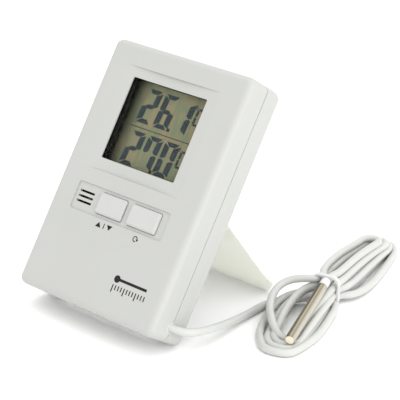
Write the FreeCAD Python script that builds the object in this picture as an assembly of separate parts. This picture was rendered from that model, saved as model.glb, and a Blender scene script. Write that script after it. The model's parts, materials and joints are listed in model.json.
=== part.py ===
import FreeCAD, Part
import math
import os

from FreeCAD import Placement, Rotation, Vector

# A max/min thermometer on its fold-out leg, with a probe on a tied hank of lead.
# The case is drawn upright, with y = 0 at its back face and z = 0 at its foot, then leant back.

# ---- case, millimetres ----
CASE_W = 72.0
CASE_H = 107.0
CASE_D = 20.8
LEAN_DEG = 33.0
FRONT_DEPTH = 11.2
WALL = 1.8
FACE_WALL = 2.0
CORNER_R = 3.2
FACE_EDGE_R = 2.8
BACK_TOP_R = 3.5
BACK_EDGE_R = 0.9
BORE_GAP = 0.05
SEAM_GROOVE, SEAM_GROOVE_W = 0.25, 0.3
FIT_GAP = 0.2

HALF_W = CASE_W / 2
FACE_Y = -CASE_D
PARTING_Y = FACE_Y + FRONT_DEPTH
INSIDE_Y = FACE_Y + FACE_WALL
INSIDE_X = HALF_W - WALL

# ---- face layout, all on one upright middle line ----
MIDDLE_X = -0.7
WINDOW_W, WINDOW_Z0, WINDOW_Z1 = 38.4, 58.4, 93.3
SCOOP_W, SCOOP_Z0, SCOOP_Z1, SCOOP_DEPTH = 48.4, 53.2, 97.6, 0.9
PANEL_W, PANEL_Z0, PANEL_Z1, PANEL_DEPTH = 48.6, 35.3, 47.0, 0.5
SLOT_W, SLOT_H, SLOT_X, SLOT_ZS = 7.8, 0.9, -19.5, (39.1, 41.2, 43.3)

# ---- locating lip at the seam ----
LIP_T, LIP_ROOT, LIP_REACH, LIP_GAP = 1.0, 1.6, 1.2, 0.1

# ---- push buttons and the switches behind them ----
BUTTON_H, BUTTON_Z, BUTTON_PROUD, BUTTON_TRAVEL = 8.7, 41.15, 0.8, 0.6
BUTTONS = {"button_max_min": (-5.2, 13.8), "button_clear": (12.1, 15.0)}
BUTTON_BEVEL, FLANGE, FLANGE_T, POST_R = 0.7, 1.0, 0.9, 1.8
SWITCH_SIDE, SWITCH_H, SWITCH_STEM_R, SWITCH_STEM_H = 6.0, 3.3, 1.6, 1.1

# ---- display stack, front to back ----
LENS_SKIN, LENS_T, FRAME_LIP, GLASS_T = 0.5, 0.9, 1.5, 2.6
LENS_W, LENS_H = 44.0, 41.0
GLASS_W, GLASS_H = 44.0, 41.0
FRAME_W, FRAME_H = 48.0, 46.5
BOARD_Y0, BOARD_T = -12.0, 1.2
BOARD_W, BOARD_Z0, BOARD_Z1 = 58.0, 30.0, 101.0
BOARD_Y1 = BOARD_Y0 + BOARD_T
WINDOW_Z = (WINDOW_Z0 + WINDOW_Z1) / 2
LENS_Y0 = FACE_Y + SCOOP_DEPTH + LENS_SKIN
LENS_Y1 = LENS_Y0 + LENS_T
GLASS_Y0 = LENS_Y1 + FRAME_LIP
GLASS_Y1 = GLASS_Y0 + GLASS_T

# ---- leg ----
HINGE_Y, HINGE_Z = -1.6, 68.0
LEG_OPEN_DEG = 58.6
LEG_T, LEG_LIFT = 1.6, 0.4
NECK_W, NECK_LENGTH = 30.0, 18.0
FOOT_W, FOOT_CORNER_R = 71.4, 5.0
HEEL = 2.2
RIDGE_W, RIDGE_H, RIDGE_TOP_Z = 2.2, 0.3, 60.0
BARREL_R, PIN_R, PIN_L = 1.5, 0.9, 2.0
PIN_CLEARANCE = 0.05
RECESS_D, RECESS_GAP = 2.4, 0.7
POCKET_D, POCKET_Z0, POCKET_Z1 = 3.75, 65.4, 71.2

# ---- battery bay and door ----
CELL_R, CELL_L, CELL_Y, CELL_Z = 5.2, 43.3, -9.35, 12.0
BAY_W, BAY_Z0, BAY_Z1, BAY_WALL, BAY_Y0 = 50.6, 6.2, 17.8, 1.0, -14.9
DOOR_W, DOOR_H, DOOR_T, TONGUE, TONGUE_T = 52.0, 22.0, 1.3, 1.2, 0.6
DOOR_Y1 = -RECESS_D
DOOR_Y0 = DOOR_Y1 - DOOR_T
SHELF_T = 1.4
BAY_RIB_T, BAY_RIB_IN, BAY_RIB_TOP = 1.0, 1.2, -11.2

# ---- keyhole in the back ----
KEYHOLE_R, KEYHOLE_Z, KEYHOLE_SLOT_W, KEYHOLE_SLOT_Z0, KEYHOLE_SLOT_Z1 = 3.6, 88.0, 3.6, 86.0, 95.0

# ---- screws ----
CASE_SCREW_X, CASE_SCREW_ZS = 30.8, (26.0, 100.0)
BOARD_SCREW_X, BOARD_SCREW_ZS = 27.0, (49.0, 93.5)
BOSS_R, BOARD_BOSS_R = 2.9, 2.0
PILOT_R, BOARD_PILOT_R = 0.9, 0.7
SCREW_R, SCREW_HEAD_R, SCREW_HEAD_Y0, SCREW_HEAD_Y1, SCREW_TIP_Y = 1.1, 2.1, -4.4, -3.0, -14.5
SCREW_HOLE_R, SCREW_WELL_R = 1.5, 2.4
BOARD_SCREW_R, BOARD_SCREW_HEAD_R, BOARD_SCREW_HEAD_T, BOARD_SCREW_DEEP = 0.85, 1.8, 1.1, 4.0
DRIVE_W, DRIVE_L, DRIVE_DEEP = 0.5, 2.6, 0.5

# ---- wires, as radius ----
BATTERY_WIRE_R, CORE_R = 0.5, 0.45

# ---- probe lead ----
LEAD_D, LEAD_GAP = 3.2, 0.02
EXIT_Z = 6.2
EXIT_TURN_DEG = 30.0
BUSH_R, BUSH_INWARDS = 2.4, 5.9
BUSH_FLANGE_R, BUSH_FLANGE_T = 3.3, 1.4

# ---- tied hank and probe, laid on the table beside the case ----
HANK_X, HANK_Y = 53.5, 72.0
HANK_TURN_DEG = 15.5
HANK_LIFT = 0.8
LOBE_H, FAR_LOBE_H = 3.3, 8.0
WAIST_W, WAIST_H, WAIST_S0, WAIST_S1 = 10.8, 12.4, -5.5, 4.5
WAIST_MIDDLE = 0.6
WAIST_CORNER_R = 3.0
TIE_AT, TIE_W, TIE_T = -3.4, 2.2, 0.8
RAMP_L, RAMP_LOW, RAMP_HIGH = 5.0, 3.0, 8.4
PROBE_D, PROBE_L, PROBE_WALL = 4.2, 39.0, 0.35
SEAL_L, SEAL_PROUD = 3.0, 0.2
BEAD_R, BEAD_FROM_END, BEAD_CORE_R, BEAD_CORE_APART = 1.1, 5.5, 0.3, 0.6
SLEEVE_D, SLEEVE_L, SLEEVE_IN = 4.0, 4.4, 4.0

LEAN = math.radians(LEAN_DEG)
X, Y, Z = Vector(1, 0, 0), Vector(0, 1, 0), Vector(0, 0, 1)


def box(x0, x1, y0, y1, z0, z1):
    return Part.makeBox(x1 - x0, y1 - y0, z1 - z0, Vector(x0, y0, z0))


def cylinder(radius, start, axis, length):
    return Part.makeCylinder(radius, length, start, axis)


def peg(radius, x, z, y0, y1):
    """A round bar running from the front towards the back."""
    return cylinder(radius, Vector(x, y0, z), Y, y1 - y0)


def edges_along(shape, axis):
    """The straight edges that are parallel to an axis."""
    found = []
    for edge in shape.Edges:
        if isinstance(edge.Curve, Part.Line) and edge.Curve.Direction.cross(axis).Length < 1e-6:
            found.append(edge)
    return found


def edges_in_plane(shape, axis, value):
    """The edges that lie wholly where a coordinate has one value."""
    found = []
    for edge in shape.Edges:
        ends = [edge.valueAt(edge.FirstParameter), edge.valueAt(edge.LastParameter)]
        middle = edge.valueAt((edge.FirstParameter + edge.LastParameter) / 2)
        if all(abs(point.dot(axis) - value) < 1e-6 for point in ends + [middle]):
            found.append(edge)
    return found


def slab(x0, x1, y0, y1, z0, z1, radius):
    """A block whose outline, seen from the front, has rounded corners."""
    block = box(x0, x1, y0, y1, z0, z1)
    return block.makeFillet(radius, edges_along(block, Y))


def middle_slab(width, y0, y1, z0, z1, radius):
    return slab(MIDDLE_X - width / 2, MIDDLE_X + width / 2, y0, y1, z0, z1, radius)


def joined(shapes):
    result = shapes[0]
    for shape in shapes[1:]:
        result = result.fuse(shape)
    return result.removeSplitter()


def prism(points, thickness):
    """A closed outline in one plane, pushed along a vector."""
    return Part.Face(Part.makePolygon(points + [points[0]])).extrude(thickness)


# ---------------------------------------------------------------- covers

def case_block():
    """The whole case as one solid, before it is split and hollowed."""
    block = slab(-HALF_W, HALF_W, FACE_Y, 0, 0, CASE_H, CORNER_R)
    block = block.makeFillet(FACE_EDGE_R, edges_in_plane(block, Y, FACE_Y))
    corner = box(-HALF_W, HALF_W, -BACK_TOP_R, 1, CASE_H - BACK_TOP_R, CASE_H + 1)
    centre = Vector(-HALF_W, -BACK_TOP_R, CASE_H - BACK_TOP_R)
    block = block.cut(corner.cut(cylinder(BACK_TOP_R, centre, X, CASE_W)))
    sides = [e for e in edges_in_plane(block, Y, 0) if abs(e.CenterOfMass.x) > HALF_W - 1]
    return block.makeFillet(BACK_EDGE_R, [e for e in sides if isinstance(e.Curve, Part.Line)])


def cavity(y0, y1):
    return slab(-INSIDE_X, INSIDE_X, y0, y1, WALL, CASE_H - WALL, CORNER_R - WALL)


def seam_groove():
    """A fine groove round the outside where the two covers meet, half of it in each."""
    y0, y1 = PARTING_Y - SEAM_GROOVE_W / 2, PARTING_Y + SEAM_GROOVE_W / 2
    half, radius = HALF_W - SEAM_GROOVE, CORNER_R - SEAM_GROOVE
    inner = slab(-half, half, y0, y1, SEAM_GROOVE, CASE_H - SEAM_GROOVE, radius)
    return box(-HALF_W - 1, HALF_W + 1, y0, y1, -1, CASE_H + 1).cut(inner)


def exit_axis():
    turn = math.radians(EXIT_TURN_DEG)
    return Vector(math.cos(turn), math.sin(turn), 0)


def exit_point():
    """Where the lead's centre crosses the side face."""
    return Vector(HALF_W, PARTING_Y, EXIT_Z)


def exit_hole():
    """The slanted hole for the lead's bush."""
    axis = exit_axis()
    return cylinder(BUSH_R + BORE_GAP, exit_point() - axis * 7, axis, 12)


def scoop(further_in=0):
    """A shallow hollow swept about an upright line in front of the face."""
    half = SCOOP_W / 2
    radius = (half ** 2 + SCOOP_DEPTH ** 2) / (2 * SCOOP_DEPTH)
    start = Vector(MIDDLE_X, FACE_Y + SCOOP_DEPTH + further_in - radius, SCOOP_Z0)
    return cylinder(radius, start, Z, SCOOP_Z1 - SCOOP_Z0)


def lens_seat():
    """The pocket behind the window that the lens sits in, under an even skin."""
    gap = 2 * FIT_GAP
    pocket = centred_plate(LENS_W + gap, LENS_H + gap, FACE_Y, INSIDE_Y + 1, 0.8 + FIT_GAP)
    return pocket.cut(scoop(LENS_SKIN))


def front_bosses():
    posts = []
    for z in CASE_SCREW_ZS:
        for x in (-CASE_SCREW_X, CASE_SCREW_X):
            boss = peg(BOSS_R, x, z, INSIDE_Y - 0.5, PARTING_Y)
            posts.append(boss.cut(peg(PILOT_R, x, z, INSIDE_Y + 1, PARTING_Y)))
    for z in BOARD_SCREW_ZS:
        for x in (-BOARD_SCREW_X, BOARD_SCREW_X):
            boss = peg(BOARD_BOSS_R, x, z, INSIDE_Y - 0.5, BOARD_Y0)
            posts.append(boss.cut(peg(BOARD_PILOT_R, x, z, INSIDE_Y + 1, BOARD_Y0)))
    return posts


def front_cover():
    shell = case_block().common(box(-HALF_W, HALF_W, FACE_Y, PARTING_Y, 0, CASE_H))
    shell = shell.cut(cavity(INSIDE_Y, PARTING_Y)).cut(scoop()).cut(lens_seat())
    window = middle_slab(WINDOW_W, FACE_Y - 1, INSIDE_Y + 1, WINDOW_Z0, WINDOW_Z1, 0.6)
    panel = middle_slab(PANEL_W, FACE_Y - 1, FACE_Y + PANEL_DEPTH, PANEL_Z0, PANEL_Z1, 1.2)
    shell = shell.cut(window).cut(panel)
    for x, width in BUTTONS.values():
        shell = shell.cut(button_block(x, width, FIT_GAP, FACE_Y - 1, INSIDE_Y + 1))
    for z in SLOT_ZS:
        shell = shell.cut(air_slot(z))
    return joined([shell] + locating_lip() + front_bosses()).cut(exit_hole()).cut(seam_groove())


def air_slot(z):
    half_w, half_h = SLOT_W / 2, SLOT_H / 2
    return box(SLOT_X - half_w, SLOT_X + half_w, FACE_Y - 1, INSIDE_Y + 1, z - half_h, z + half_h)


def locating_lip():
    """A thin wall round the seam that the rear cover slips over, and its thicker root."""
    half_w, z0, z1 = INSIDE_X - LIP_GAP, WALL + LIP_GAP, CASE_H - WALL - LIP_GAP
    lip = slab(-half_w, half_w, PARTING_Y, PARTING_Y + LIP_REACH, z0, z1, CORNER_R - WALL - LIP_GAP)
    for z in CASE_SCREW_ZS:
        for x in (-CASE_SCREW_X, CASE_SCREW_X):
            lip = lip.cut(peg(BOSS_R + FIT_GAP, x, z, PARTING_Y, PARTING_Y + LIP_REACH))
    return [cavity(PARTING_Y - LIP_ROOT, PARTING_Y).cut(lip_hole()), lip.cut(lip_hole())]


def lip_hole():
    """The space inside the locating lip, left open at the foot for the battery bay."""
    y0, y1 = PARTING_Y - LIP_ROOT - 1, PARTING_Y + LIP_REACH + 1
    half_w, half_bay = INSIDE_X - LIP_T, BAY_W / 2 + BAY_WALL + 1
    inner = box(-half_w, half_w, y0, y1, WALL + LIP_T, CASE_H - WALL - LIP_T)
    return inner.fuse(box(-half_bay, half_bay, y0, y1, 0, BAY_Z1 + BAY_WALL + 1))


def leg_outline(grow, y0, y1):
    """The leg's plan when folded: a straight neck at the hinge, flaring to a broad foot."""
    neck, foot = NECK_W / 2 + grow, FOOT_W / 2 + grow
    top = HINGE_Z + HEEL + grow
    bend = HINGE_Z - NECK_LENGTH
    low = HINGE_Z - leg_length() - grow
    plan = [(-neck, top), (neck, top), (neck, bend), (foot, low), (-foot, low), (-neck, bend)]
    solid = prism([Vector(x, y0, z) for x, z in plan], Vector(0, y1 - y0, 0))
    corners = [e for e in edges_along(solid, Y) if abs(e.CenterOfMass.z - low) < 1e-6]
    solid = solid.makeFillet(FOOT_CORNER_R + grow, corners)
    bends = [e for e in edges_along(solid, Y) if abs(e.CenterOfMass.z - bend) < 1e-6]
    return solid.makeFillet(6.0, bends)


def hinge_height():
    """The hinge axis above the table, when the case leans on its leg."""
    return -HINGE_Y * math.sin(LEAN) + HINGE_Z * math.cos(LEAN)


def leg_length():
    """From the hinge axis to the foot's end, so that the foot's front corner meets the table."""
    tilt = math.radians(LEG_OPEN_DEG) - LEAN
    front_face = LEG_LIFT - LEG_T / 2
    return (hinge_height() + front_face * math.sin(tilt)) / math.cos(tilt)


def leg_recess():
    """The hollow that the folded leg lies in, with the hinge pocket and the foot's finger gap."""
    inside = box(-HALF_W + 1.0, HALF_W - 1.0, -10, 2, -5, CASE_H)
    hollow = leg_outline(RECESS_GAP, -RECESS_D, 2).common(inside)
    half = NECK_W / 2 + 0.25
    pocket = box(-half, half, -POCKET_D, 2, POCKET_Z0, POCKET_Z1)
    gap = box(-DOOR_W / 2 - 0.1, DOOR_W / 2 + 0.1, DOOR_Y1, 2, -1, 8)
    return joined([hollow, pocket, gap])


def hinge_holes():
    length = NECK_W + 2 * (PIN_L + 0.4)
    return cylinder(PIN_R + PIN_CLEARANCE, Vector(-length / 2, HINGE_Y, HINGE_Z), X, length)


def door_slot():
    """The opening in the back wall for the door, with a groove along each side for its tongues."""
    half = DOOR_W / 2 + 0.12
    opening = box(-half, half, DOOR_Y0 - 0.1, 1, -1, DOOR_H + 0.12)
    groove = box(-half - TONGUE, half + TONGUE, DOOR_Y0 - 0.1, DOOR_Y0 + TONGUE_T + 0.1, -1, DOOR_H + 0.12)
    return opening.common(box(-40, 40, -10, DOOR_Y1 + 0.01, -2, 60)).fuse(groove)


def battery_bay():
    """A moulded trough for one AAA cell, with a slotted rib at each end for the contacts."""
    half = BAY_W / 2
    outer = box(-half - BAY_WALL, half + BAY_WALL, BAY_Y0 - BAY_WALL, DOOR_Y0 - 0.1,
                BAY_Z0 - BAY_WALL, BAY_Z1 + BAY_WALL)
    return outer, box(-half, half, BAY_Y0, DOOR_Y1 + 1, BAY_Z0, BAY_Z1)


def keyhole():
    """A round entry with a narrower slot above it, for hanging on a screw head."""
    half = KEYHOLE_SLOT_W / 2
    slot = slab(-half, half, -WALL - 1, 1, KEYHOLE_SLOT_Z0, KEYHOLE_SLOT_Z1, half - 0.1)
    return slot.fuse(peg(KEYHOLE_R, 0, KEYHOLE_Z, -WALL - 1, 1))


def rear_bosses():
    posts, holes = [], []
    for z in CASE_SCREW_ZS:
        for x in (-CASE_SCREW_X, CASE_SCREW_X):
            posts.append(peg(BOSS_R, x, z, PARTING_Y, -1.0))
            holes.append(peg(SCREW_HOLE_R, x, z, PARTING_Y - 1, 1))
            holes.append(peg(SCREW_WELL_R, x, z, SCREW_HEAD_Y0, 1))
    return posts, holes


def rear_cover():
    outer = case_block().common(box(-HALF_W, HALF_W, PARTING_Y, 1, 0, CASE_H))
    shell = outer.cut(cavity(PARTING_Y, -WALL))
    floor = leg_outline(RECESS_GAP + 1.6, -RECESS_D - WALL, -0.5).common(outer)
    half_neck, half_door = NECK_W / 2 + 4, DOOR_W / 2 + 2.6
    block = box(-half_neck, half_neck, -POCKET_D - WALL, -0.5, POCKET_Z0 - 2, POCKET_Z1 + 2)
    shelf = box(-half_door, half_door, DOOR_Y0 - SHELF_T, -1.0, 0.6, DOOR_H + 2)
    bay_outer, bay_inner = battery_bay()
    posts, holes = rear_bosses()
    shell = joined([shell, floor, block, shelf.common(outer), bay_outer] + posts)
    tools = [leg_recess(), hinge_holes(), door_slot(), bay_inner, keyhole(), exit_hole(), seam_groove()]
    for tool in tools + holes:
        shell = shell.cut(tool)
    return joined([shell] + [bay_rib(side) for side in (-1, 1)])


def bay_rib(side):
    """A low rib near one end of the bay, which keeps a contact in its place."""
    x, half = side * (BAY_W / 2 - BAY_RIB_IN), BAY_RIB_T / 2
    return box(x - half, x + half, BAY_Y0 - 0.2, BAY_RIB_TOP, BAY_Z0 - 0.2, BAY_Z1 + 0.2)


def battery_door():
    half = DOOR_W / 2
    plate = box(-half, half, DOOR_Y0, DOOR_Y1, 0, DOOR_H)
    tongues = box(-half - TONGUE + 0.1, half + TONGUE - 0.1, DOOR_Y0, DOOR_Y0 + TONGUE_T, 0.6, DOOR_H)
    door = plate.fuse(tongues)
    for row in range(4):
        z = 3.0 + 1.6 * row
        door = door.cut(slab(-9, 9, DOOR_Y1 - 0.45, DOOR_Y1 + 1, z, z + 0.8, 0.35))
    return door.removeSplitter()


# ---------------------------------------------------------------- leg

def stand_leg():
    """The leg with its hinge barrel and two stub pins, swung out to where its heel stops it."""
    middle = HINGE_Y + LEG_LIFT
    plate = leg_outline(0, middle - LEG_T / 2, middle + LEG_T / 2)
    start = Vector(-NECK_W / 2, HINGE_Y, HINGE_Z)
    barrel = cylinder(BARREL_R, start, X, NECK_W)
    pins = cylinder(PIN_R, start - X * PIN_L, X, NECK_W + 2 * PIN_L)
    rim = leg_outline(0, middle, middle + LEG_T / 2 + RIDGE_H)
    rim = rim.cut(leg_outline(-RIDGE_W, middle - 1, middle + LEG_T))
    rim = rim.cut(box(-HALF_W, HALF_W, -10, 10, RIDGE_TOP_Z, CASE_H))
    leg = joined([plate, barrel, pins, rim])
    leg.rotate(Vector(0, HINGE_Y, HINGE_Z), X, LEG_OPEN_DEG)
    return leg


# ---------------------------------------------------------------- buttons and switches

def button_block(x, width, grow, y0, y1):
    half_w, half_h = width / 2 + grow, BUTTON_H / 2 + grow
    return slab(x - half_w, x + half_w, y0, y1, BUTTON_Z - half_h, BUTTON_Z + half_h, 0.8 + grow)


def push_button(x, width):
    """A bevelled cap, a flange that keeps it behind the face, and a post to the switch."""
    top = FACE_Y - BUTTON_PROUD
    cap = button_block(x, width, 0, top, INSIDE_Y + FLANGE_T)
    cap = cap.makeChamfer(BUTTON_BEVEL, edges_in_plane(cap, Y, top))
    flange = button_block(x, width, FLANGE, INSIDE_Y + 0.1, INSIDE_Y + FLANGE_T)
    post = peg(POST_R, x, BUTTON_Z, INSIDE_Y + FLANGE_T, stem_front())
    return joined([cap, flange, post])


def stem_front():
    return BOARD_Y0 - SWITCH_H - SWITCH_STEM_H


def switch_stem(x):
    return peg(SWITCH_STEM_R, x, BUTTON_Z, stem_front(), BOARD_Y0 - SWITCH_H + 1.2)


def switch_bodies():
    """Two square tact switches on the board, each bored for its moving stem."""
    found = []
    half = SWITCH_SIDE / 2
    for x, _ in BUTTONS.values():
        body = box(x - half, x + half, BOARD_Y0 - SWITCH_H, BOARD_Y0, BUTTON_Z - half, BUTTON_Z + half)
        body = body.cut(peg(SWITCH_STEM_R + 0.05, x, BUTTON_Z, BOARD_Y0 - SWITCH_H - 1, BOARD_Y0 - 1.0))
        found.append(body)
    return Part.makeCompound(found)


# ---------------------------------------------------------------- display and board

def centred_plate(width, height, y0, y1, radius):
    return middle_slab(width, y0, y1, WINDOW_Z - height / 2, WINDOW_Z + height / 2, radius)


def display_lens():
    return centred_plate(LENS_W, LENS_H, LENS_Y0, LENS_Y1, 0.8)


def lcd_panel():
    """Two bonded glass plates, the back one taller for the contact ledges."""
    middle = (GLASS_Y0 + GLASS_Y1) / 2
    front = centred_plate(GLASS_W, GLASS_H - 4, GLASS_Y0, middle, 0.3)
    return joined([front, centred_plate(GLASS_W, GLASS_H, middle, GLASS_Y1, 0.3)])


def lcd_frame():
    """A black holder round the glass, with a lip in front of it."""
    block = centred_plate(FRAME_W, FRAME_H, LENS_Y1, BOARD_Y0, 1.0)
    opening = centred_plate(WINDOW_W, WINDOW_Z1 - WINDOW_Z0, LENS_Y1 - 1, GLASS_Y0 + 1, 0.5)
    pocket = centred_plate(GLASS_W + 0.2, GLASS_H + 0.2, GLASS_Y0, BOARD_Y0 + 1, 0.4)
    return block.cut(opening).cut(pocket)


def zebra_connectors():
    """The two rubber strips that join the glass to the board."""
    half = GLASS_W / 2 - 1
    rows = []
    for side in (-1, 1):
        z = WINDOW_Z + side * (GLASS_H / 2 - 1.6)
        rows.append(box(MIDDLE_X - half, MIDDLE_X + half, GLASS_Y1, BOARD_Y0, z - 1, z + 1))
    return Part.makeCompound(rows)


def circuit_board():
    board = slab(-BOARD_W / 2, BOARD_W / 2, BOARD_Y0, BOARD_Y1, BOARD_Z0, BOARD_Z1, 1.0)
    for z in BOARD_SCREW_ZS:
        for x in (-BOARD_SCREW_X, BOARD_SCREW_X):
            board = board.cut(peg(1.1, x, z, BOARD_Y0 - 1, BOARD_Y1 + 1))
    notches = [peg(BOSS_R + 0.4, x, CASE_SCREW_ZS[1], BOARD_Y0 - 1, BOARD_Y1 + 1)
               for x in (-CASE_SCREW_X, CASE_SCREW_X)]
    for notch in notches:
        board = board.cut(notch)
    return board


def controller_blob():
    """The resin over the bare controller chip, rounded off at its rim."""
    top = BOARD_Y1 + 1.6
    blob = peg(6.5, 0, 76, BOARD_Y1, top)
    return blob.makeFillet(1.4, edges_in_plane(blob, Y, top))


def board_parts():
    """Small resistors and capacitors on the back of the board."""
    found = []
    for row in range(4):
        for column in range(3):
            x, z = -18 + 7 * column, 54 + 3.4 * row
            found.append(box(x, x + 2.0, BOARD_Y1, BOARD_Y1 + 0.7, z, z + 1.25))
    return Part.makeCompound(found)


def quartz_crystal():
    can = cylinder(1.55, Vector(8, BOARD_Y1 + 1.6, 62), X, 6.0)
    legs = cylinder(0.2, Vector(5.5, BOARD_Y1 + 1.6, 61.5), X, 2.5)
    other = cylinder(0.2, Vector(5.5, BOARD_Y1 + 1.6, 62.5), X, 2.5)
    return joined([can, legs, other])


def air_sensor():
    """The bead that feels the air through the slots, on two fine legs from the board."""
    bead_y = INSIDE_Y + 1.9
    bead = Part.makeSphere(1.2, Vector(SLOT_X, bead_y, SLOT_ZS[1]))
    legs = [peg(0.25, SLOT_X + side, SLOT_ZS[1], bead_y, BOARD_Y0) for side in (-0.7, 0.7)]
    return joined([bead] + legs)


# ---------------------------------------------------------------- power

def battery_cell():
    return cylinder(CELL_R, Vector(-CELL_L / 2, CELL_Y, CELL_Z), X, CELL_L)


def battery_cap():
    """The raised button on the cell's positive end."""
    return cylinder(1.9, Vector(CELL_L / 2, CELL_Y, CELL_Z), X, 0.9)


def contact_plate():
    """A flat spring contact that the positive cap presses on."""
    x = CELL_L / 2 + 0.9
    plate = box(x, x + 0.4, CELL_Y - 3.6, CELL_Y + 3.6, CELL_Z - 4.5, CELL_Z + 4.5)
    tab = box(x, x + 0.4, CELL_Y - 0.9, CELL_Y + 0.9, CELL_Z + 4.5, BAY_Z1 - 0.05)
    return joined([plate, tab])


def contact_spring():
    """A coiled negative contact: stacked rings that narrow towards the cell, on a back plate."""
    x0 = -BAY_W / 2 + 1.8
    x1 = -CELL_L / 2
    plate = box(x0, x0 + 0.3, CELL_Y - 3.6, CELL_Y + 3.6, CELL_Z - 4.5, CELL_Z + 4.5)
    cone = Part.makeCone(3.4, 2.2, x1 - x0 - 0.3, Vector(x0 + 0.3, CELL_Y, CELL_Z), X)
    bore = Part.makeCone(2.6, 1.4, x1 - x0 - 0.3, Vector(x0 + 0.3, CELL_Y, CELL_Z), X)
    return joined([plate, cone.cut(bore)])


def tube_along(points, radius, report=None):
    """A round bar along straight runs joined by tangent arcs, each as large as its runs allow."""
    edges = []
    radii = []
    start = points[0]
    for before, corner, after in zip(points, points[1:], points[2:]):
        run_in, run_out = corner - before, after - corner
        reach = 0.45 * min(run_in.Length, run_out.Length)
        enter = corner - run_in.normalize() * reach
        leave = corner + run_out.normalize() * reach
        turn = run_in.getAngle(run_out)
        arc_radius = reach / math.tan(turn / 2)
        bisector = (run_out - run_in).normalize()
        centre = corner + bisector * (arc_radius / math.cos(turn / 2))
        middle = centre + (corner - centre).normalize() * arc_radius
        edges.append(Part.LineSegment(start, enter).toShape())
        edges.append(Part.Arc(enter, middle, leave).toShape())
        radii.append(round(arc_radius, 1))
        start = leave
    edges.append(Part.LineSegment(start, points[-1]).toShape())
    path = Part.Wire(edges)
    section = Part.Wire(Part.Circle(points[0], points[1] - points[0], radius).toShape())
    tube = path.makePipeShell([section], True, False)
    if report:
        ideal = math.pi * radius ** 2 * path.Length
        share = tube.Volume / ideal
        print(f"{report}: length {path.Length:.1f}, radii {radii}, volume {share:.4f} of ideal")
    return tube


def battery_wire(x_end, x_board, y_offset):
    """An insulated wire from a battery contact up to the foot of the board."""
    y = BOARD_Y1 + y_offset
    points = [Vector(x_end, CELL_Y, BAY_Z1 + BAY_WALL + 0.1), Vector(x_end, CELL_Y, 23),
              Vector(x_board, y, 27.5), Vector(x_board, y, 33)]
    return tube_along(points, BATTERY_WIRE_R)


def sensor_wires():
    """The lead's two cores, from inside the bush up to the board."""
    inner = exit_point() - exit_axis() * 5.4
    y = BOARD_Y1 + 0.6
    found = []
    for side in (-0.6, 0.6):
        points = [inner + Z * side, Vector(28.6, inner.y - 1.6, 9.2 + side), Vector(28.2 + side, y, 20.5),
                  Vector(24.5 + side * 2, y, 27), Vector(24.2 + side * 2, y, 34)]
        found.append(tube_along(points, CORE_R))
    return Part.makeCompound(found)


# ---------------------------------------------------------------- screws

def drive_slot(x, z, head_y, half_w, half_h):
    return box(x - half_w, x + half_w, head_y - DRIVE_DEEP, head_y + 1, z - half_h, z + half_h)


def case_screws():
    """Four self-tapping screws with a cross drive, from the back into the front cover."""
    found = []
    for z in CASE_SCREW_ZS:
        for x in (-CASE_SCREW_X, CASE_SCREW_X):
            head = peg(SCREW_HEAD_R, x, z, SCREW_HEAD_Y0, SCREW_HEAD_Y1)
            shank = peg(SCREW_R, x, z, SCREW_TIP_Y, SCREW_HEAD_Y0)
            slot = drive_slot(x, z, SCREW_HEAD_Y1, DRIVE_L / 2, DRIVE_W / 2)
            cross = drive_slot(x, z, SCREW_HEAD_Y1, DRIVE_W / 2, DRIVE_L / 2)
            found.append(joined([head, shank]).cut(slot.fuse(cross)))
    return Part.makeCompound(found)


def board_screws():
    """Four short screws with a slot drive, through the board into the front cover."""
    top = BOARD_Y1 + BOARD_SCREW_HEAD_T
    found = []
    for z in BOARD_SCREW_ZS:
        for x in (-BOARD_SCREW_X, BOARD_SCREW_X):
            head = peg(BOARD_SCREW_HEAD_R, x, z, BOARD_Y1, top)
            shank = peg(BOARD_SCREW_R, x, z, BOARD_Y0 - BOARD_SCREW_DEEP, BOARD_Y1)
            found.append(joined([head, shank]).cut(drive_slot(x, z, top, DRIVE_L / 2, DRIVE_W / 2)))
    return Part.makeCompound(found)


# ---------------------------------------------------------------- probe lead

def lead_bush():
    """The flanged bush that holds the lead in the side wall and ends level with it."""
    axis = exit_axis()
    inner_end = exit_point() - axis * BUSH_INWARDS
    barrel = cylinder(BUSH_R, inner_end, axis, BUSH_INWARDS + 2 * BUSH_R)
    flange = cylinder(BUSH_FLANGE_R, inner_end, axis, BUSH_FLANGE_T)
    bush = joined([barrel, flange]).common(case_block())
    return bush.cut(cylinder(LEAD_D / 2 + LEAD_GAP, inner_end - axis, axis, 3 * BUSH_INWARDS))


def lead_route(exit_world, axis_world):
    """The lead from inside its bush, out past the case's side and down to the hank."""
    first = exit_world + axis_world * 3.4
    return [
        exit_world - axis_world * 4.8,
        first,
        first + Vector(3.3, 5.1, -1.2),
        Vector(42.4, 11.3, 6.4),
        Vector(41.4, 23.5, 4.0),
        Vector(39.5, 37.5, 1.9),
        Vector(38.7, 49.0, 1.65),
        Vector(40.2, 56.0, 1.65),
        Vector(43.8, 61.0, 1.65),
    ]


def hank_place(along, across, up):
    """A point of the hank, counted from its tie: along its length, across it and up from the table."""
    turn = math.radians(HANK_TURN_DEG)
    lengthways = Vector(-math.sin(turn), math.cos(turn), 0)
    sideways = Vector(math.cos(turn), math.sin(turn), 0)
    return Vector(HANK_X, HANK_Y, up) + lengthways * along + sideways * across


def oval_lobe(along, across, half_length, half_width, height):
    centre = hank_place(along, across, 0)
    lengthways = hank_place(1, 0, 0) - hank_place(0, 0, 0)
    major = centre + lengthways * half_length
    minor = centre + Z.cross(lengthways) * half_width
    outline = Part.Ellipse(major, minor, centre).toShape()
    return Part.Face(Part.Wire(outline)).extrude(Vector(0, 0, height))


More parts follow.
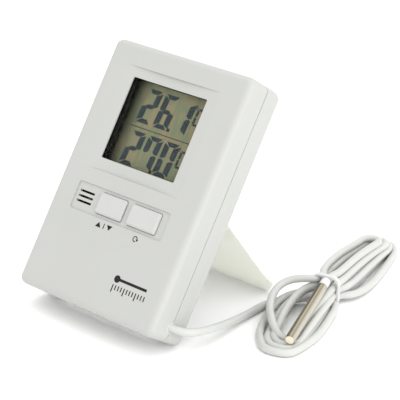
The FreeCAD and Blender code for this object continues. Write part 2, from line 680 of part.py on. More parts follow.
def hank_box(s0, s1, half_width, z0, z1):
    w0, w1 = WAIST_MIDDLE - half_width, WAIST_MIDDLE + half_width
    plan = ((s0, w0), (s1, w0), (s1, w1), (s0, w1))
    return prism([hank_place(s, w, z0) for s, w in plan], Vector(0, 0, z1 - z0))


def waist_block(s0, s1, grow):
    """A block round the tied strands, larger than them by grow, with its long edges rounded."""
    low, high = HANK_LIFT - grow, HANK_LIFT + WAIST_H + grow
    block = hank_box(s0, s1, WAIST_W / 2 + grow, low, high)
    lengthways = hank_place(1, 0, 0) - hank_place(0, 0, 0)
    return block.makeFillet(WAIST_CORNER_R + grow, edges_along(block, lengthways))


def lead_hank():
    """The outer shape of the tied hank: two open lobes and the waist where they are tied."""
    near = oval_lobe(-26.5, -3.5, 26.5, 13.3, LOBE_H)
    far = oval_lobe(32.0, 1.8, 32.0, 11.0, FAR_LOBE_H)
    top = HANK_LIFT + WAIST_H
    waist = waist_block(WAIST_S0, WAIST_S1, 0)
    far = far.cut(hank_box(WAIST_S0 - FAR_LOBE_H, WAIST_S1, WAIST_W * 2, -1, top))
    near = near.cut(hank_box(WAIST_S0, WAIST_S1 + LOBE_H, WAIST_W * 2, -1, top))
    foot = WAIST_S0 - RAMP_L
    ramp = [(foot, RAMP_LOW), (WAIST_S0, RAMP_LOW), (WAIST_S0, RAMP_HIGH)]
    across = hank_place(0, WAIST_W, 0) - hank_place(0, 0, 0)
    edge = WAIST_MIDDLE - WAIST_W / 2
    wedge = prism([hank_place(s, edge, z) for s, z in ramp], across)
    return joined([near, waist, far, wedge])


def cable_tie():
    """A flat band round the waist of the hank."""
    outer = waist_block(TIE_AT - TIE_W / 2, TIE_AT + TIE_W / 2, TIE_T)
    return outer.cut(waist_block(TIE_AT - TIE_W, TIE_AT + TIE_W, 0))


def probe_axis():
    """The middle of the probe's sleeve end, and the way that the probe points from there."""
    upper = hank_place(-9.0, 1.45, 11.0)
    lower = hank_place(-47.5, 3.2, 5.5)
    return upper, (lower - upper).normalize()


def probe_tube():
    start, axis = probe_axis()
    outer = cylinder(PROBE_D / 2, start, axis, PROBE_L)
    return outer.cut(cylinder(PROBE_D / 2 - PROBE_WALL, start, axis, PROBE_L))


def probe_end_seal():
    start, axis = probe_axis()
    inner = start + axis * (PROBE_L - SEAL_L)
    return cylinder(PROBE_D / 2 - PROBE_WALL, inner, axis, SEAL_L + SEAL_PROUD)


def probe_sleeve():
    """The white sleeve that the lead runs into, pushed into the tube's upper end."""
    start, axis = probe_axis()
    collar = cylinder(SLEEVE_D / 2, start - axis * SLEEVE_L, axis, SLEEVE_L)
    return joined([collar, cylinder(PROBE_D / 2 - PROBE_WALL, start, axis, SLEEVE_IN)])


def probe_sensor():
    """The bead inside the tube's closed end, on the ends of the lead's two cores."""
    start, axis = probe_axis()
    cores_start = start + axis * SLEEVE_IN
    cores_l = PROBE_L - BEAD_FROM_END - SLEEVE_IN
    bead = Part.makeSphere(BEAD_R, start + axis * (PROBE_L - BEAD_FROM_END))
    aside = Z.cross(axis) * BEAD_CORE_APART
    cores = [cylinder(BEAD_CORE_R, cores_start + aside * side, axis, cores_l) for side in (-1, 1)]
    return joined([bead] + cores)


# ---------------------------------------------------------------- assembly

CASE_NODES = {
    "front_cover": front_cover, "rear_cover": rear_cover, "battery_door": battery_door,
    "stand_leg": stand_leg, "display_lens": display_lens, "lcd_panel": lcd_panel,
    "lcd_frame": lcd_frame, "zebra_connectors": zebra_connectors, "circuit_board": circuit_board,
    "controller_blob": controller_blob, "board_parts": board_parts, "quartz_crystal": quartz_crystal,
    "air_sensor": air_sensor, "switch_bodies": switch_bodies, "battery_cell": battery_cell,
    "battery_cap": battery_cap, "contact_plate": contact_plate, "contact_spring": contact_spring,
    "sensor_wires": sensor_wires, "case_screws": case_screws, "board_screws": board_screws,
    "lead_bush": lead_bush,
}
CORD_NODES = {
    "lead_hank": lead_hank, "cable_tie": cable_tie, "probe_tube": probe_tube,
    "probe_end_seal": probe_end_seal, "probe_sleeve": probe_sleeve, "probe_sensor": probe_sensor,
}


def lean_back():
    return Placement(Vector(0, 0, 0), Rotation(X, -LEAN_DEG))


def build():
    """Every node in the standing pose, with the origin under the middle of the thermometer."""
    shapes = {name: make() for name, make in CASE_NODES.items()}
    for name, (x, width) in BUTTONS.items():
        shapes[name] = push_button(x, width)
        shapes[name.replace("button", "switch_stem")] = switch_stem(x)
    shapes["wire_positive"] = battery_wire(BAY_W / 2 - 2.2, 20.0, 0.6)
    shapes["wire_negative"] = battery_wire(-BAY_W / 2 + 2.2, -20.0, 0.6)
    for shape in shapes.values():
        shape.transformShape(lean_back().Matrix, False)
    bounds = FreeCAD.BoundBox()
    for shape in shapes.values():
        bounds.add(shape.optimalBoundingBox(False, False))
    turned = lean_back().Rotation
    route = lead_route(turned.multVec(exit_point()), turned.multVec(exit_axis()))
    shapes["probe_lead"] = tube_along(route, LEAD_D / 2, "probe_lead")
    shapes.update({name: make() for name, make in CORD_NODES.items()})
    shift = Vector(-bounds.Center.x, -bounds.Center.y, -bounds.ZMin)
    for shape in shapes.values():
        shape.translate(shift)
    return shapes, shift, [point + shift for point in route]


def main():
    os.makedirs("parts", exist_ok=True)
    shapes, shift, route = build()
    for name, shape in shapes.items():
        shape.exportStep(f"parts/{name}.step")
    print("origin shift", shift)
    print("lead route", [tuple(round(c, 2) for c in point) for point in route])
    print("leg length", round(leg_length(), 2))


main()
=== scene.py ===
import json
import math

import bmesh
import bpy
from mathutils import Matrix, Vector


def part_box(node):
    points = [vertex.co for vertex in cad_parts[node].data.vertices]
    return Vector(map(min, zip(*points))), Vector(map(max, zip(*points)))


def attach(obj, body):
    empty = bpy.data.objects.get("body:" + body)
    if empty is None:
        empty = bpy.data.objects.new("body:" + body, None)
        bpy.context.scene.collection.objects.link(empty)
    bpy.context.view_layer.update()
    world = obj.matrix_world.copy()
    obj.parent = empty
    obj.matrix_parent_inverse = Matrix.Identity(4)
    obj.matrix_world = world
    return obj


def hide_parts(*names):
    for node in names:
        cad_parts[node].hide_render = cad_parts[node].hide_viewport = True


MM = 0.001

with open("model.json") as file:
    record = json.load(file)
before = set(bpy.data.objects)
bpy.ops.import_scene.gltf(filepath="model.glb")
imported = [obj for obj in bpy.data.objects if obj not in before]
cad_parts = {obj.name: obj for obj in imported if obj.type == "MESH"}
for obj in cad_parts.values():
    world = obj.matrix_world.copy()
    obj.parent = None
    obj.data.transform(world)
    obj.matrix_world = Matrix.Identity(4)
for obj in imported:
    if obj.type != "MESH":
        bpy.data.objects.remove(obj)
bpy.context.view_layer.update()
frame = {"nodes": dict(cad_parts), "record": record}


# ---------------------------------------------------------------- places on the case, from the frame

def mount(name):
    return next(m for m in frame["record"]["mounts"] if m["name"] == name)


CASE_ACROSS = Vector((1, 0, 0))
CASE_BACK = Vector(mount("back_face")["axis"]).normalized()
CASE_UP = CASE_ACROSS.cross(CASE_BACK)
# where the back_face mount sits on the case: across from its middle and up from its lower edge
MOUNT_X, MOUNT_Z = 20.0, 85.0
CASE_ORIGIN = (Vector(mount("back_face")["pos_m"])
               - CASE_ACROSS * MOUNT_X * MM - CASE_UP * MOUNT_Z * MM)
# the face and the display glass, measured from the back face
FACE_Y = -20.8
GLASS_Y = -17.0


def on_case(x, y, z):
    """A point of the leaning case, in mm: x across, y towards the back face at 0, z up the case."""
    return CASE_ORIGIN + (CASE_ACROSS * x + CASE_BACK * y + CASE_UP * z) * MM


def middle(node):
    low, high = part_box(node)
    return (Vector(low) + Vector(high)) / 2


# ---------------------------------------------------------------- camera

# the point that the camera looks at, its direction and roll seen from there, its distance and its lens
LOOK_AT = Vector((44.35, -24.167, 65.38)) * MM
AZIMUTH, ELEVATION, ROLL = math.radians(39.71), math.radians(23.437), math.radians(1.83)
DISTANCE = 632.6 * MM
LENS, SENSOR = 153.69, 36.0


def add_camera():
    back = Vector((math.sin(AZIMUTH) * math.cos(ELEVATION),
                   -math.cos(AZIMUTH) * math.cos(ELEVATION),
                   math.sin(ELEVATION)))
    level = Vector((math.cos(AZIMUTH), math.sin(AZIMUTH), 0))
    upright = back.cross(level)
    right = level * math.cos(ROLL) + upright * math.sin(ROLL)
    up = upright * math.cos(ROLL) - level * math.sin(ROLL)
    data = bpy.data.cameras.new("camera")
    data.lens = LENS
    data.sensor_width = SENSOR
    camera = bpy.data.objects.new("camera", data)
    bpy.context.scene.collection.objects.link(camera)
    camera.matrix_world = Matrix((
        (right.x, up.x, back.x, LOOK_AT.x + back.x * DISTANCE),
        (right.y, up.y, back.y, LOOK_AT.y + back.y * DISTANCE),
        (right.z, up.z, back.z, LOOK_AT.z + back.z * DISTANCE),
        (0, 0, 0, 1),
    ))
    bpy.context.scene.camera = camera


# ---------------------------------------------------------------- materials

def new_material(name):
    material = bpy.data.materials.new(name)
    material.use_nodes = True
    tree = material.node_tree
    return material, tree, tree.nodes["Principled BSDF"]


def noise(tree, scale, stretch=(1, 1, 1), detail=3.0, turn=(0, 0, 0)):
    """Noise that is fixed to the object, scale in lumps per metre."""
    place = tree.nodes.new("ShaderNodeTexCoord")
    mapping = tree.nodes.new("ShaderNodeMapping")
    mapping.vector_type = "TEXTURE"
    mapping.inputs["Rotation"].default_value = turn
    mapping.inputs["Scale"].default_value = [1 / share for share in stretch]
    texture = tree.nodes.new("ShaderNodeTexNoise")
    texture.inputs["Scale"].default_value = scale
    texture.inputs["Detail"].default_value = detail
    tree.links.new(place.outputs["Object"], mapping.inputs["Vector"])
    tree.links.new(mapping.outputs["Vector"], texture.inputs["Vector"])
    return texture.outputs["Fac"]


def between(tree, factor, low, high, start=0.3, end=0.7):
    """A value that goes from low to high as the factor goes from start to end."""
    node = tree.nodes.new("ShaderNodeMapRange")
    node.inputs["From Min"].default_value = start
    node.inputs["From Max"].default_value = end
    node.inputs["To Min"].default_value = low
    node.inputs["To Max"].default_value = high
    tree.links.new(factor, node.inputs["Value"])
    return node.outputs["Result"]


def colours(tree, factor, *stops):
    """A colour ramp of (position, colour) stops."""
    ramp = tree.nodes.new("ShaderNodeValToRGB")
    while len(ramp.color_ramp.elements) < len(stops):
        ramp.color_ramp.elements.new(0.5)
    for element, (position, colour) in zip(ramp.color_ramp.elements, stops):
        element.position = position
        element.color = (*colour, 1)
    tree.links.new(factor, ramp.inputs["Fac"])
    return ramp.outputs["Color"]


def roughen(tree, shader, height, depth):
    """Bump whose distance is depth, in mm."""
    bump = tree.nodes.new("ShaderNodeBump")
    bump.inputs["Distance"].default_value = depth * MM
    bump.inputs["Strength"].default_value = 1.0
    tree.links.new(height, bump.inputs["Height"])
    tree.links.new(bump.outputs["Normal"], shader.inputs["Normal"])


def finish(name, dark, light, rough, patch=60, grain=2500, depth=0.02, stretch=(1, 1, 1), **sockets):
    """A material with a slow drift between two near colours, a fine grain and uneven gloss."""
    material, tree, shader = new_material(name)
    slow = noise(tree, patch, stretch)
    tree.links.new(colours(tree, slow, (0.3, dark), (0.7, light)), shader.inputs["Base Color"])
    low, high = rough
    tree.links.new(between(tree, slow, low, high), shader.inputs["Roughness"])
    roughen(tree, shader, noise(tree, grain, stretch, 2.0), depth)
    for socket, value in sockets.items():
        shader.inputs[socket.replace("_", " ")].default_value = value
    return material


def lens_material():
    """Clear plastic with a mere trace of haze."""
    material, tree, shader = new_material("clear_lens_finish")
    haze = noise(tree, 90)
    tree.links.new(colours(tree, haze, (0.3, (0.36, 0.37, 0.34)), (0.7, (0.44, 0.45, 0.42))),
                   shader.inputs["Base Color"])
    tree.links.new(between(tree, haze, 0.05, 0.09), shader.inputs["Roughness"])
    tree.links.new(between(tree, haze, 0.004, 0.010), shader.inputs["Alpha"])
    shader.inputs["IOR"].default_value = 1.46
    return material


# the painted shade at the display's left edge starts and ends this far from the glass's edge
PAINTED_SHADE_FROM, PAINTED_SHADE_TO = 4.0 * MM, 11.5 * MM


def display_material():
    """Reflective liquid crystal: olive khaki with faint upright streaks and a painted shade at the left
    edge.
    """
    material, tree, shader = new_material("lcd_glass_painted_shade_finish")
    low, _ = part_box("lcd_panel")
    place = tree.nodes.new("ShaderNodeTexCoord")
    split = tree.nodes.new("ShaderNodeSeparateXYZ")
    tree.links.new(place.outputs["Object"], split.inputs["Vector"])
    streaks = noise(tree, 330, (1.0, 0.2, 0.2), 3.0)
    tint = colours(tree, streaks, (0.36, (0.205, 0.182, 0.106)), (0.47, (0.182, 0.169, 0.100)),
                   (0.56, (0.130, 0.165, 0.097)), (0.66, (0.197, 0.180, 0.109)))
    # painted shade: towards the glass's left edge the colour is multiplied down to near black
    left = between(tree, split.outputs["X"], 0.02, 1.0, low[0] + PAINTED_SHADE_FROM, low[0] + PAINTED_SHADE_TO)
    shade = tree.nodes.new("ShaderNodeMix")
    shade.data_type = "RGBA"
    shade.blend_type = "MULTIPLY"
    shade.inputs["Factor"].default_value = 1.0
    grey = tree.nodes.new("ShaderNodeCombineColor")
    for channel in ("Red", "Green", "Blue"):
        tree.links.new(left, grey.inputs[channel])
    tree.links.new(tint, shade.inputs["A"])
    tree.links.new(grey.outputs["Color"], shade.inputs["B"])
    tree.links.new(shade.outputs["Result"], shader.inputs["Base Color"])
    tree.links.new(between(tree, streaks, 0.40, 0.52), shader.inputs["Roughness"])
    roughen(tree, shader, noise(tree, 4000), 0.004)
    shader.inputs["Specular IOR Level"].default_value = 0.1
    return material


PROBE_R = 2.1 * MM
# painted reflections: light and dark bands across the probe tube, from one side to the other
PROBE_REFLECTION_BANDS = (
    (0.14, (0.640, 0.590, 0.460)),
    (0.25, (0.230, 0.190, 0.125)),
    (0.34, (0.060, 0.046, 0.028)),
    (0.50, (0.105, 0.086, 0.058)),
    (0.62, (0.440, 0.395, 0.300)),
    (0.80, (0.260, 0.230, 0.170)),
    (0.98, (0.560, 0.530, 0.450)),
)
# how far the streaks shift the bands
BAND_SHIFT = 0.22


def probe_material():
    """Nickel-plated brass: painted reflections in bands across the tube, dulled in streaks along it."""
    material, tree, shader = new_material("probe_metal_painted_reflection_finish")
    along = middle("probe_end_seal") - middle("probe_sleeve")
    turn = along.to_track_quat("X", "Z").to_euler()
    place = tree.nodes.new("ShaderNodeTexCoord")
    mapping = tree.nodes.new("ShaderNodeMapping")
    mapping.vector_type = "TEXTURE"
    mapping.inputs["Location"].default_value = middle("probe_tube")
    mapping.inputs["Rotation"].default_value = turn
    split = tree.nodes.new("ShaderNodeSeparateXYZ")
    tree.links.new(place.outputs["Object"], mapping.inputs["Vector"])
    tree.links.new(mapping.outputs["Vector"], split.inputs["Vector"])
    streaks = noise(tree, 1300, (0.02, 1.0, 1.0), 3.0, turn)
    # painted reflections: the colour follows the place across the tube, giving dark and light stripes
    # along it
    across = between(tree, split.outputs["Y"], 0.0, 1.0, -PROBE_R, PROBE_R)
    shifted = tree.nodes.new("ShaderNodeMath")
    shifted.operation = "MULTIPLY_ADD"
    shifted.inputs[1].default_value = BAND_SHIFT
    tree.links.new(streaks, shifted.inputs[0])
    tree.links.new(across, shifted.inputs[2])
    tint = colours(tree, shifted.outputs["Value"], *PROBE_REFLECTION_BANDS)
    tree.links.new(tint, shader.inputs["Base Color"])
    tree.links.new(between(tree, streaks, 0.40, 0.24), shader.inputs["Roughness"])
    roughen(tree, shader, noise(tree, 3000, (0.05, 1, 1), 2.0, turn), 0.004)
    shader.inputs["Metallic"].default_value = 1.0
    return material


WHITE_PLASTIC = {"rough": (0.40, 0.50), "patch": 25, "grain": 1500, "depth": 0.012}
METAL = {"Metallic": 1.0}

FINISHES = {
    "case_plastic": finish("case_plastic_finish", (0.432, 0.438, 0.415), (0.444, 0.450, 0.427),
                           **WHITE_PLASTIC),
    # the leg is a greenish, translucent white plastic, and its colour is set lighter than the case's as
    # painted light that brightens its shaded face
    "leg_plastic": finish("leg_plastic_lightened_finish", (0.735, 0.752, 0.672), (0.750, 0.767, 0.687),
                          Subsurface_Weight=1.0, Subsurface_Radius=(1, 1, 1), Subsurface_Scale=5 * MM,
                          **WHITE_PLASTIC),
    "button_plastic": finish("button_plastic_finish", (0.470, 0.473, 0.456), (0.485, 0.488, 0.471),
                             (0.30, 0.38), 60, 1800, 0.008),
    "clear_lens": lens_material(),
    "lcd_glass": display_material(),
    "black_plastic": finish("black_plastic_finish", (0.008, 0.008, 0.008), (0.016, 0.016, 0.015),
                            (0.50, 0.62), 80, 2500, 0.015, Specular_IOR_Level=0.2),
    "conductive_rubber": finish("conductive_rubber_finish", (0.03, 0.03, 0.03), (0.09, 0.09, 0.09),
                                (0.6, 0.8), 2500, 3000, 0.01, (1, 0.1, 0.1)),
    "board_green": finish("board_green_finish", (0.010, 0.075, 0.030), (0.016, 0.115, 0.045),
                          (0.25, 0.36), 400, 1800, 0.02, Coat_Weight=0.4),
    "black_resin": finish("black_resin_finish", (0.010, 0.010, 0.011), (0.020, 0.020, 0.021),
                          (0.12, 0.3), 300, 900, 0.03),
    "ceramic_parts": finish("ceramic_parts_finish", (0.10, 0.075, 0.05), (0.42, 0.35, 0.25),
                            (0.35, 0.55), 320, 2200, 0.02),
    "plated_steel": finish("plated_steel_finish", (0.55, 0.55, 0.54), (0.68, 0.68, 0.67),
                           (0.22, 0.36), 300, 2500, 0.01, **METAL),
    "sensor_resin": finish("sensor_resin_finish", (0.13, 0.06, 0.02), (0.20, 0.10, 0.035),
                           (0.2, 0.35), 500, 1500, 0.02),
    "battery_wrap": finish("battery_wrap_finish", (0.02, 0.045, 0.10), (0.03, 0.065, 0.14),
                           (0.22, 0.32), 120, 2500, 0.008, Coat_Weight=0.3),
    "red_wire": finish("red_wire_finish", (0.40, 0.012, 0.010), (0.50, 0.020, 0.015),
                       (0.35, 0.5), 300, 2500, 0.01),
    "black_wire": finish("black_wire_finish", (0.012, 0.012, 0.012), (0.025, 0.025, 0.025),
                         (0.35, 0.5), 300, 2500, 0.01),
    "white_wire": finish("white_wire_finish", (0.66, 0.66, 0.64), (0.72, 0.72, 0.70),
                         (0.35, 0.5), 300, 2500, 0.01),
    "zinc_screws": finish("zinc_screws_finish", (0.46, 0.46, 0.47), (0.60, 0.60, 0.60),
                          (0.28, 0.42), 500, 2500, 0.015, **METAL),
    "lead_pvc": finish("lead_pvc_finish", (0.500, 0.506, 0.482), (0.518, 0.524, 0.500),
                       (0.38, 0.48), 120, 1500, 0.015),
    "tie_plastic": finish("tie_plastic_finish", (0.56, 0.56, 0.55), (0.61, 0.61, 0.60),
                          (0.22, 0.32), 120, 1500, 0.01, Coat_Weight=0.2),
    "probe_metal": probe_material(),
    "cream_resin": finish("cream_resin_finish", (0.72, 0.67, 0.50), (0.80, 0.75, 0.59),
                          (0.35, 0.5), 250, 1200, 0.03),
    "sleeve_pvc": finish("sleeve_pvc_finish", (0.62, 0.62, 0.61), (0.66, 0.66, 0.65),
                         (0.35, 0.45), 120, 1500, 0.01),
}
SEGMENTS = finish("segment_finish", (0.026, 0.036, 0.039), (0.036, 0.048, 0.052), (0.5, 0.6),
                  300, 3000, 0.002, Specular_IOR_Level=0.05)


def finish_nodes():
    """Gives every CAD node the finish of its own material slot in the record."""
    wanted = {part["node"]: part["material_slot"] for part in frame["record"]["subparts"]}
    for name, node in frame["nodes"].items():
        for place in node.material_slots:
            place.material = FINISHES[wanted[name]]


# ---------------------------------------------------------------- the probe lead and its tied hank

LEAD_D = 3.2
# from inside the bush, out past the case's side and down to the hank
LEAD_ROUTE = (
    (31.84, -30.85, 11.74),
    (38.94, -27.42, 9.5),
    (42.24, -22.32, 8.3),
    (42.4, -12.87, 6.4),
    (41.4, -0.67, 4.0),
    (39.5, 13.33, 1.9),
    (38.7, 24.83, 1.65),
    (40.2, 31.83, 1.65),
    (43.8, 36.83, 1.65),
)
HANK_TURN = math.radians(15.5)
HANK_ALONG = Vector((-math.sin(HANK_TURN), math.cos(HANK_TURN), 0))
HANK_ACROSS = Vector((math.cos(HANK_TURN), math.sin(HANK_TURN), 0))
# the tie's middle, along the hank and across it
TIE_ALONG, TIE_ACROSS = -3.4, 0.6
WAIST_NEAR, WAIST_FAR = -3.5, 2.5

# a lobe's outline before its rounded tip: how far out, and how much of its width it has there
FAR_LEFT = ((0.10, 0.55), (0.28, 0.96), (0.55, 1.0), (0.80, 0.90))
FAR_RIGHT = ((0.10, 0.72), (0.27, 1.04), (0.55, 1.0), (0.80, 0.88))
NEAR_LEFT = ((0.16, 0.70), (0.30, 0.97), (0.56, 1.0), (0.80, 0.85))
NEAR_RIGHT = ((0.15, 0.75), (0.36, 0.97), (0.62, 1.0), (0.82, 0.88))

# a lobe with less than this half width has one more point before its tip, so that it bends evenly
NARROW = 6.0
# outline points this close to the tip's first point are left out, as a share of the reach
TIP_CLEAR = 0.05

# where each turn passes through the tie on its left and right: across, up
TIE_LEFT = ((-3.1, 2.9), (-3.2, 5.9), (0.5, 5.4), (-3.1, 8.8), (-2.3, 11.4))
TIE_RIGHT = ((4.1, 2.9), (0.6, 2.45), (4.3, 5.9), (4.2, 8.8), (1.2, 11.2))

# each turn's lobe: left, right, reach, then its height at the left, tip and right, and the tip's shift
FAR_LOBES = (
    (-7.7, 12.3, 63, 1.65, 1.65, 1.65, 0.5),
    (-4.4, 6.6, 59.4, 1.65, 1.65, 1.65, 2.0),
    (-5.8, 7.4, 57.5, 4.4, 4.4, 4.4, 3.0),
    (-3.0, 4.8, 53, 7.2, 7.2, 7.2, 4.0),
    (-4.8, 2.8, 48.0, 10.0, 9.9, 9.9, 4.5),
)
NEAR_LOBES = (
    (-15.4, 8.6, 52.3, 1.65, 1.65, 1.65, 2.6),
    (-11.4, 5.3, 48.9, 1.65, 1.65, 1.65, 2.4),
    (-8.4, 4.9, 45.5, 4.7, 1.65, 4.4, 1.6),
)
# the uppermost turn of the near lobe swings out over the others: along, across and up
TOP_TURN = (
    (-6.3, 3.3, 7.7),
    (-15.0, 2.6, 6.0),
    (-25.0, 2.1, 4.4),
    (-34.0, 2.2, 3.2),
    (-38.9, 2.2, 2.1),
    (-41.5, 0.2, 1.8),
    (-41.6, -3.2, 2.6),
    (-39.2, -6.6, 4.3),
    (-35.2, -9.8, 6.2),
    (-29.0, -13.2, 7.1),
    (-21.0, -15.8, 7.8),
    (-13.5, -16.2, 9.2),
    (-8.4, -13.2, 10.8),
    (-6.0, -7.6, 11.7),
)


def on_hank(along, across, up):
    """A point of the hank, in mm: along it and across it from its own origin, and up from the floor."""
    tie = middle("cable_tie")
    point = Vector((tie.x, tie.y, up * MM))
    point += HANK_ALONG * (along - TIE_ALONG) * MM
    return point + HANK_ACROSS * (across - TIE_ACROSS) * MM


def lobe_side(outline, sign, lobe, left, waist):
    """One side of a turn's lobe, from the tie to its rounded tip.

    The sign is 1 for the far lobe and -1 for the near one. The waist is the turn's place in the tie.
    """
    at_left, at_right, reach, z_left, z_tip, z_right, shift = lobe
    width = at_left if left else at_right
    height = z_left if left else z_right
    centre = (at_left + at_right) / 2
    half = (at_right - at_left) / 2
    across0, up0 = waist
    tip = ((1 - 0.6 * half / reach, 1.03 - 0.026 * half), (1.0, 0.43))
    if half < NARROW:
        tip = ((1 - 1.5 * half / reach, 0.92),) + tip
    body = tuple(point for point in outline if point[0] < tip[0][0] - TIP_CLEAR)
    points = []
    for out, share in body + tip:
        if out < 0.5:
            across = across0 + (width - across0) * share
        else:
            across = centre + (width - centre) * share + shift * (out - 0.5) * 2
        if out < 0.6:
            up = up0 + (height - up0) * out / 0.6
        else:
            up = height + (z_tip - height) * (out - 0.6) / 0.4
        points.append((sign * out * reach, across, up))
    return points


def hank_points():
    """The turns of the hank: through the tie, round the far lobe, back and round the near lobe."""
    points = []
    for turn, far in enumerate(FAR_LOBES):
        left, right = TIE_LEFT[turn], TIE_RIGHT[turn]
        points += [(WAIST_NEAR, *left), (WAIST_FAR, *left)]
        points += lobe_side(FAR_LEFT, 1, far, True, left)
        points += reversed(lobe_side(FAR_RIGHT, 1, far, False, right))
        points.append((WAIST_FAR, *right))
        if turn < len(NEAR_LOBES):
            near = NEAR_LOBES[turn]
            points.append((WAIST_NEAR, *right))
            points += lobe_side(NEAR_RIGHT, -1, near, False, right)
            points += reversed(lobe_side(NEAR_LEFT, -1, near, True, TIE_LEFT[turn + 1]))
        elif turn == len(NEAR_LOBES):
            points.append((WAIST_NEAR, *right))
            points += TOP_TURN
    # the last run goes over the top of the tie's strands and into the probe's sleeve
    points += [(-2.0, 1.3, 11.1), (-6.5, 1.4, 11.0)]
    return [on_hank(*point) for point in points]


def add_lead():
    points = [Vector(point) * MM for point in LEAD_ROUTE] + hank_points()
    data = bpy.data.curves.new("lead", "CURVE")
    data.dimensions = "3D"
    data.bevel_depth = LEAD_D / 2 * MM
    data.bevel_resolution = 5
    data.use_fill_caps = True
    data.resolution_u = 8
    spline = data.splines.new("NURBS")
    spline.points.add(len(points) - 1)
    for target, point in zip(spline.points, points):
        target.co = (*point, 1)
    spline.order_u = 3
    spline.use_endpoint_u = True
    data.materials.append(FINISHES["lead_pvc"])
    lead = bpy.data.objects.new("lead", data)
    bpy.context.scene.collection.objects.link(lead)
    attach(lead, "housing")
    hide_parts("probe_lead", "lead_hank")


# ---------------------------------------------------------------- flat marks: digits and symbols

def add_marks(name, outlines, y, thickness, slot, material=None):
    """Thin raised shapes on a plane of the case, from outlines in mm across and up it."""
    mesh = bmesh.new()
    for outline in outlines:
        front = [mesh.verts.new(on_case(x, y - thickness, z)) for x, z in outline]
        back = [mesh.verts.new(on_case(x, y, z)) for x, z in outline]
        mesh.faces.new(front)
        mesh.faces.new(list(reversed(back)))
        count = len(outline)
        for i in range(count):
            j = (i + 1) % count
            mesh.faces.new((front[i], back[i], back[j], front[j]))
    bmesh.ops.recalc_face_normals(mesh, faces=mesh.faces)
    data = bpy.data.meshes.new(name)
    mesh.to_mesh(data)
    mesh.free()
    data.materials.append(material or FINISHES[slot])
    marks = bpy.data.objects.new(name, data)
    bpy.context.scene.collection.objects.link(marks)
    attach(marks, "housing")


def disc(x, z, radius, steps=20):
    turns = [2 * math.pi * i / steps for i in range(steps)]
    return [(x + radius * math.cos(a), z + radius * math.sin(a)) for a in turns]


def bar(x0, x1, z0, z1):
    return [(x0, z0), (x1, z0), (x1, z1), (x0, z1)]


def ring(x, z, radius, width, start, end, steps=18):
    """Short blocks that together make an arc of a ring, angles in degrees."""
    blocks = []
    for i in range(steps):
        a = math.radians(start + (end - start) * i / steps)
        b = math.radians(start + (end - start) * (i + 1) / steps)
        inner, outer = radius - width / 2, radius + width / 2
        blocks.append([(x + r * math.cos(t), z + r * math.sin(t))
                       for r, t in ((inner, a), (outer, a), (outer, b), (inner, b))])
    return blocks


# a digit's width, height, width of its upright strokes, depth of its level strokes, and gap
DIGIT = (7.6, 14.3, 2.75, 1.8, 0.1)
SLANT = math.tan(math.radians(3.5))
LIT = {"0": "abcdef", "1": "bc", "2": "abged", "6": "acdefg", "7": "abcf"}
# each row's number, the height of its lower edge on the case, and where its point stands
ROWS = (("26.1", 76.9, 3.6), ("27.0", 59.0, 3.2))
DIGIT_XS = (-13.6, -4.7, 4.1)


def segment(letter, width, height, upright, level, gap):
    """One of a digit's seven segments, from its lower left corner, for the sizes that DIGIT lists."""
    outer, inner = 0.15 * upright + gap, 0.8 * upright + gap
    top = [(outer, height), (width - outer, height),
           (width - inner, height - level), (inner, height - level)]
    half, over, under = height / 2, height / 2 + level / 2, height / 2 - level / 2
    upper_left = [(0, height - 0.25 * upright - gap), (upright, height - level - 0.1 * upright - gap),
                  (upright, over + gap), (0.5 * upright, half + gap), (0, half + 0.12 * upright + gap)]
    point, shoulder = 0.5 * upright + gap, 0.95 * upright + gap
    centre = [(point, half), (shoulder, over), (width - shoulder, over),
              (width - point, half), (width - shoulder, under), (shoulder, under)]
    outline = {"a": top, "d": top, "g": centre}.get(letter, upper_left)
    if letter in "bc":
        outline = [(width - x, z) for x, z in outline]
    if letter in "cde":
        outline = [(x, height - z) for x, z in outline]
    return outline


def slanted(outline, x, z):
    """An outline moved to its place on the face and leant over like the display's digits."""
    return [(x + px + pz * SLANT, z + pz) for px, pz in outline]


def digit_outlines():
    found = []
    for text, z, point_x in ROWS:
        for place, digit in zip(DIGIT_XS, text.replace(".", "")):
            found += [slanted(segment(letter, *DIGIT), place, z) for letter in LIT[digit]]
        found.append(bar(point_x - 0.8, point_x + 0.7, z - 0.1, z + 1.3))
    return found


# the small C has the same five sizes as a digit, and stands this far across and up from its row
UNIT = (3.0, 7.2, 1.1, 0.9, 0.08)
UNIT_X, UNIT_UP = 13.2, 5.3
# the line between the rows: its ends, and its lower and upper edge
DIVIDER = (-22.4, 20.9, 74.75, 75.1)


def unit_outlines():
    """The degree sign and the small segmented C of each row, and the line between the rows."""
    found = [bar(*DIVIDER)]
    for _, z, _ in ROWS:
        found += [slanted(segment(letter, *UNIT), UNIT_X, z + UNIT_UP) for letter in "adef"]
        found += ring(UNIT_X - 0.7, z + UNIT_UP + UNIT[1] + 0.2, 0.6, 0.4, 0, 360, 12)
    return found


# the marks' middles under the two buttons, their height on the case and their size
ARROWS_X, CLEAR_X = -4.9, 11.9
BUTTON_MARK_Z = 31.9
MARK_H = 2.1


def button_marks():
    """Up and down arrowheads under the left button, a turning arrow under the right one."""
    x, low, high = ARROWS_X, BUTTON_MARK_Z, BUTTON_MARK_Z + MARK_H
    up = [(x - 4.2, low), (x - 1.4, low), (x - 2.8, high)]
    down = [(x + 1.4, high), (x + 4.2, high), (x + 2.8, low)]
    tick = bar(x - 0.2, x + 0.2, low, high)
    middle_z, radius = BUTTON_MARK_Z + 0.9, 1.0
    edge = CLEAR_X + radius
    arrow = [(edge - 0.65, middle_z + 0.1), (edge + 0.65, middle_z + 0.1), (edge, middle_z - 0.85)]
    return [up, down, tick, arrow] + ring(CLEAR_X, middle_z, radius, 0.38, 10, 300)


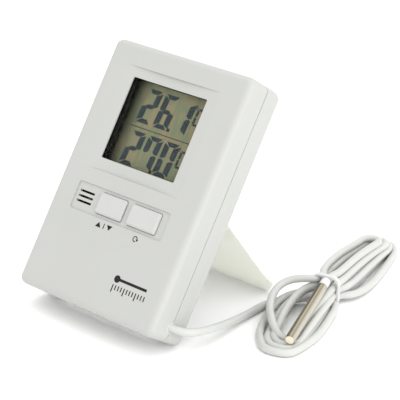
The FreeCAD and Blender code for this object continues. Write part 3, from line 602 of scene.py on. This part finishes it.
# the lying thermometer's bulb (across, up, radius) and stem (its ends, lower and upper edge)
BULB = (11.3, 15.9, 1.5)
STEM = (12.4, 26.6, 15.35, 16.45)
# the graduations: how many, where the first stands, their spacing, width and upper end
TICKS, TICK_X, TICK_STEP, TICK_W, TICK_TOP = 12, 10.2, 1.48, 0.5, 13.5
LONG_TICK, SHORT_TICK, TICKS_PER_LONG = 3.1, 2.0, 4


def scale_mark():
    """A lying thermometer over a row of graduations, in the place of the words on the face."""
    found = [disc(*BULB), bar(*STEM)]
    for i in range(TICKS):
        x = TICK_X + i * TICK_STEP
        length = SHORT_TICK if i % TICKS_PER_LONG else LONG_TICK
        found.append(bar(x, x + TICK_W, TICK_TOP - length, TICK_TOP))
    return found


# how far the display's marks float off the glass, and how thick the marks are
FLOAT, DIGIT_THICK, PRINT_THICK = 0.02, 0.04, 0.03


def add_details():
    display_y = GLASS_Y - FLOAT
    add_marks("display_digits", digit_outlines(), display_y, DIGIT_THICK, "lcd_glass", SEGMENTS)
    add_marks("display_units", unit_outlines(), display_y, PRINT_THICK, "lcd_glass", SEGMENTS)
    add_marks("button_symbols", button_marks(), FACE_Y, PRINT_THICK, "black_plastic")
    add_marks("scale_symbol", scale_mark(), FACE_Y, PRINT_THICK, "black_plastic")


# ---------------------------------------------------------------- floor and light

FLOOR_HALF = 3.0
# the floor lies this far below the model's lowest point, so that the two don't share a plane
FLOOR_DROP = 0.1 * MM


def add_floor():
    material, tree, shader = new_material("floor_finish")
    drift = noise(tree, 3)
    tree.links.new(colours(tree, drift, (0.3, (0.955, 0.955, 0.955)), (0.7, (0.97, 0.97, 0.97))),
                   shader.inputs["Base Color"])
    shader.inputs["Roughness"].default_value = 0.7
    half = FLOOR_HALF
    data = bpy.data.meshes.new("floor")
    corners = [(-half, -half, 0), (half, -half, 0), (half, half, 0), (-half, half, 0)]
    data.from_pydata(corners, [], [(0, 1, 2, 3)])
    data.materials.append(material)
    floor = bpy.data.objects.new("floor", data)
    bpy.context.scene.collection.objects.link(floor)
    floor.location.z = -FLOOR_DROP


# where both lights point, and the strength of the plain white world
LIGHT_TARGET = Vector((0.02, 0, 0.05))
SKY = 1.27


def add_light(name, place, power, size):
    """A soft square light, its place and size in metres and its power in watts."""
    data = bpy.data.lights.new(name, "AREA")
    data.energy = power
    data.size = size
    light = bpy.data.objects.new(name, data)
    bpy.context.scene.collection.objects.link(light)
    light.location = place
    light.rotation_euler = (LIGHT_TARGET - Vector(place)).to_track_quat("-Z", "Y").to_euler()


def add_lights():
    bpy.context.scene.view_settings.view_transform = "Standard"
    world = bpy.data.worlds.new("world")
    bpy.context.scene.world = world
    world.use_nodes = True
    background = world.node_tree.nodes["Background"]
    background.inputs["Color"].default_value = (1.0, 1.0, 1.0, 1)
    background.inputs["Strength"].default_value = SKY
    add_light("top_light", (0.1, 0.1, 1.4), 6, 1.6)
    add_light("side_light", (1.15, -0.1, 0.3), 6, 0.9)


add_camera()
finish_nodes()
add_lead()
add_details()
add_floor()
add_lights()
